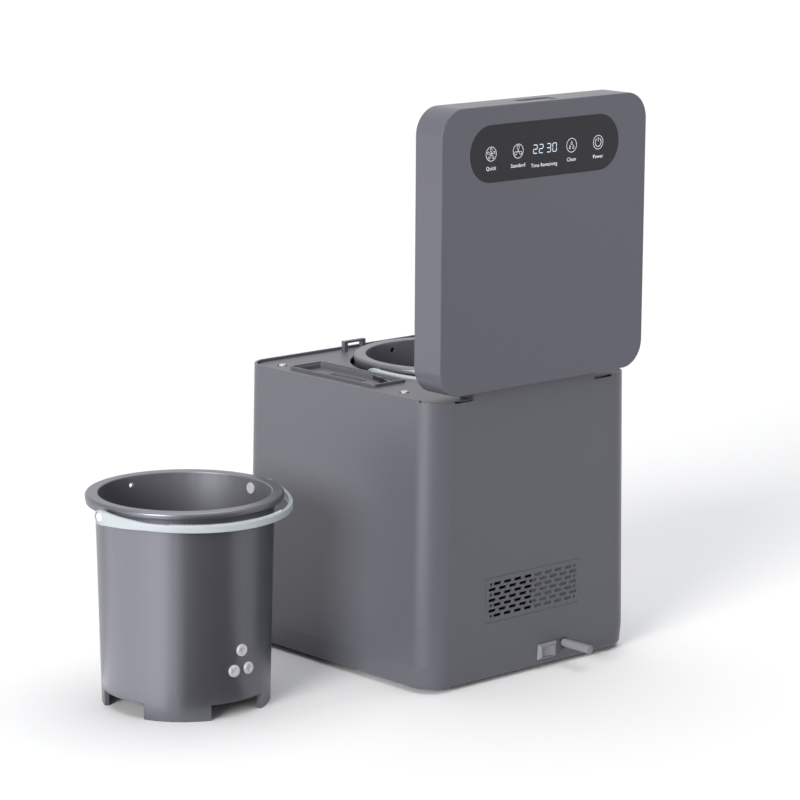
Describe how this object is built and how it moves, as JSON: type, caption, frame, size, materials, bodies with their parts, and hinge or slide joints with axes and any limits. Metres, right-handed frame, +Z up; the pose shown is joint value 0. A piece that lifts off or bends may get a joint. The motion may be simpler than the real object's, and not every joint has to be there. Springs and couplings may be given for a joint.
{
  "type": "electric food waste composter",
  "caption": "Countertop electric food waste composter with a hinged lid, a lift-out stirred bucket in a heated well, a filter and a fan, and a spare bucket beside it.",
  "frame": {"origin": "centre of the machine's footprint, on the surface it stands on", "axes": "+Z up, -Y towards the front, where the lid's button is, +X to the user's right, where the spare bucket stands"},
  "size_m": [0.5674, 0.3242, 0.5769],
  "materials": {
    "casing": "satin",
    "casing_dark": "matt",
    "deck": "satin",
    "rubber": "matt",
    "steel": "brushed",
    "bucket": "satin metallic",
    "bail": "satin",
    "alu": "cast",
    "plate": "zinc plated",
    "gear": "moulded",
    "brass": "turned",
    "board": "satin",
    "black": "matt",
    "panel": "gloss",
    "carbon": "rough"
  },
  "bodies": {
    "base": {"base_pan": "casing", "feet": "rubber", "pan_screws": "steel", "casing": "casing", "top_deck": "deck", "deck_screws": "steel", "lid_keeper": "casing", "hinge_pins": "steel", "rear_grille": "casing", "switch_bezel": "casing", "lead_sleeve": "casing", "bucket_well": "casing_dark", "heater_plate": "alu", "lower_gear_plate": "plate", "upper_gear_plate": "plate", "plate_standoffs": "steel", "shaft_bushes": "brass", "motor_can": "plate", "filter_housing": "casing_dark", "fan_frame": "black", "power_board": "board", "lid_sensor": "board"},
    "lid": {"lid_shell": "casing", "lid_liner": "casing_dark", "liner_screws": "steel", "lid_gasket": "rubber", "panel_glass": "panel", "display_board": "board", "lid_magnet": "steel", "lock_solenoid": "plate", "button_spring": "steel"},
    "lock": {"lock_bolt": "steel"},
    "button": {"lid_button": "black"},
    "rocker": {"switch_rocker": "casing"},
    "drive": {"drive_shaft": "steel", "output_gear": "gear", "drive_dog": "steel"},
    "middle": {"middle_gear": "gear"},
    "motor": {"motor_shaft": "steel", "motor_pinion": "brass"},
    "fan": {"fan_rotor": "black"},
    "bucket": {"bucket_shell": "bucket", "bail_studs": "steel", "breaker_bar": "steel", "breaker_screws": "steel"},
    "bail": {"bucket_bail": "bail"},
    "stirrer": {"stirrer": "alu", "stirrer_hub": "steel"},
    "spare_bucket": {"spare_shell": "bucket", "spare_studs": "steel", "spare_breaker_bar": "steel", "spare_breaker_screws": "steel"},
    "spare_bail": {"spare_bail": "bail"},
    "spare_stirrer": {"spare_stirrer": "alu", "spare_stirrer_hub": "steel"},
    "cartridge": {"filter_cartridge": "black", "carbon_block": "carbon"},
    "tray": {"filter_tray": "deck"}
  },
  "joints": [
    {"name": "lid_hinge", "type": "hinge", "parent": "base", "child": "lid", "pos_m": [0, 0.13075, 0.3089], "axis": [-1, 0, 0], "range_deg": [-90, 0]},
    {"name": "lock_slide", "type": "slide", "parent": "lid", "child": "lock", "axis": [0, 0, 1], "range_m": [0, 0.005]},
    {"name": "button_press", "type": "slide", "parent": "lid", "child": "button", "axis": [0, 0, -1], "range_m": [0, 0.003], "stiffness_N_per_m": 300, "springref_m": -0.004, "deforming": ["button_spring"]},
    {"name": "rocker_tip", "type": "hinge", "parent": "base", "child": "rocker", "pos_m": [-0.0202, 0.14403, 0.0182], "axis": [0, 0, 1], "range_deg": [0, 16]},
    {"name": "drive_turn", "type": "hinge", "parent": "base", "child": "drive", "pos_m": [-0.0312, -0.0194, 0.08], "axis": [0, 0, 1], "continuous": true},
    {"name": "middle_turn", "type": "hinge", "parent": "base", "child": "middle", "pos_m": [0.0258, -0.0194, 0.065], "axis": [0, 0, 1], "continuous": true},
    {"name": "motor_turn", "type": "hinge", "parent": "base", "child": "motor", "pos_m": [0.06477, 0.0031, 0.06], "axis": [0, 0, 1], "continuous": true},
    {"name": "fan_turn", "type": "hinge", "parent": "base", "child": "fan", "pos_m": [-0.028, 0.12513, 0.0838], "axis": [0, 1, 0], "continuous": true},
    {"name": "bucket_lift", "type": "slide", "parent": "base", "child": "bucket", "axis": [0, 0, 1], "range_m": [0, 0.22]},
    {"name": "bail_swing", "type": "hinge", "parent": "bucket", "child": "bail", "pos_m": [-0.0312, -0.0194, 0.2891], "axis": [1, 0, 0], "range_deg": [0, 120]},
    {"name": "stirrer_turn", "type": "hinge", "parent": "bucket", "child": "stirrer", "pos_m": [-0.0312, -0.0194, 0.1216], "axis": [0, 0, 1], "continuous": true},
    {"name": "spare_lift", "type": "slide", "parent": "base", "child": "spare_bucket", "axis": [0, 0, 1], "range_m": [0, 0.22]},
    {"name": "spare_bail_swing", "type": "hinge", "parent": "spare_bucket", "child": "spare_bail", "pos_m": [0.3195, -0.0146, 0.1975], "axis": [1, 0, 0], "range_deg": [0, 160]},
    {"name": "spare_stirrer_turn", "type": "hinge", "parent": "spare_bucket", "child": "spare_stirrer", "pos_m": [0.3195, -0.0146, 0.03], "axis": [0, 0, 1], "continuous": true},
    {"name": "cartridge_lift", "type": "slide", "parent": "base", "child": "cartridge", "axis": [0, 0, 1], "range_m": [0, 0.085]},
    {"name": "tray_lift", "type": "slide", "parent": "cartridge", "child": "tray", "axis": [0, 0, 1], "range_m": [0, 0.03]}
  ],
  "couplings": [
    {"joint": "middle_turn", "follows": "drive_turn", "ratio": -5.3333},
    {"joint": "motor_turn", "follows": "drive_turn", "ratio": 21.333},
    {"joint": "stirrer_turn", "follows": "drive_turn", "ratio": 1}
  ]
}
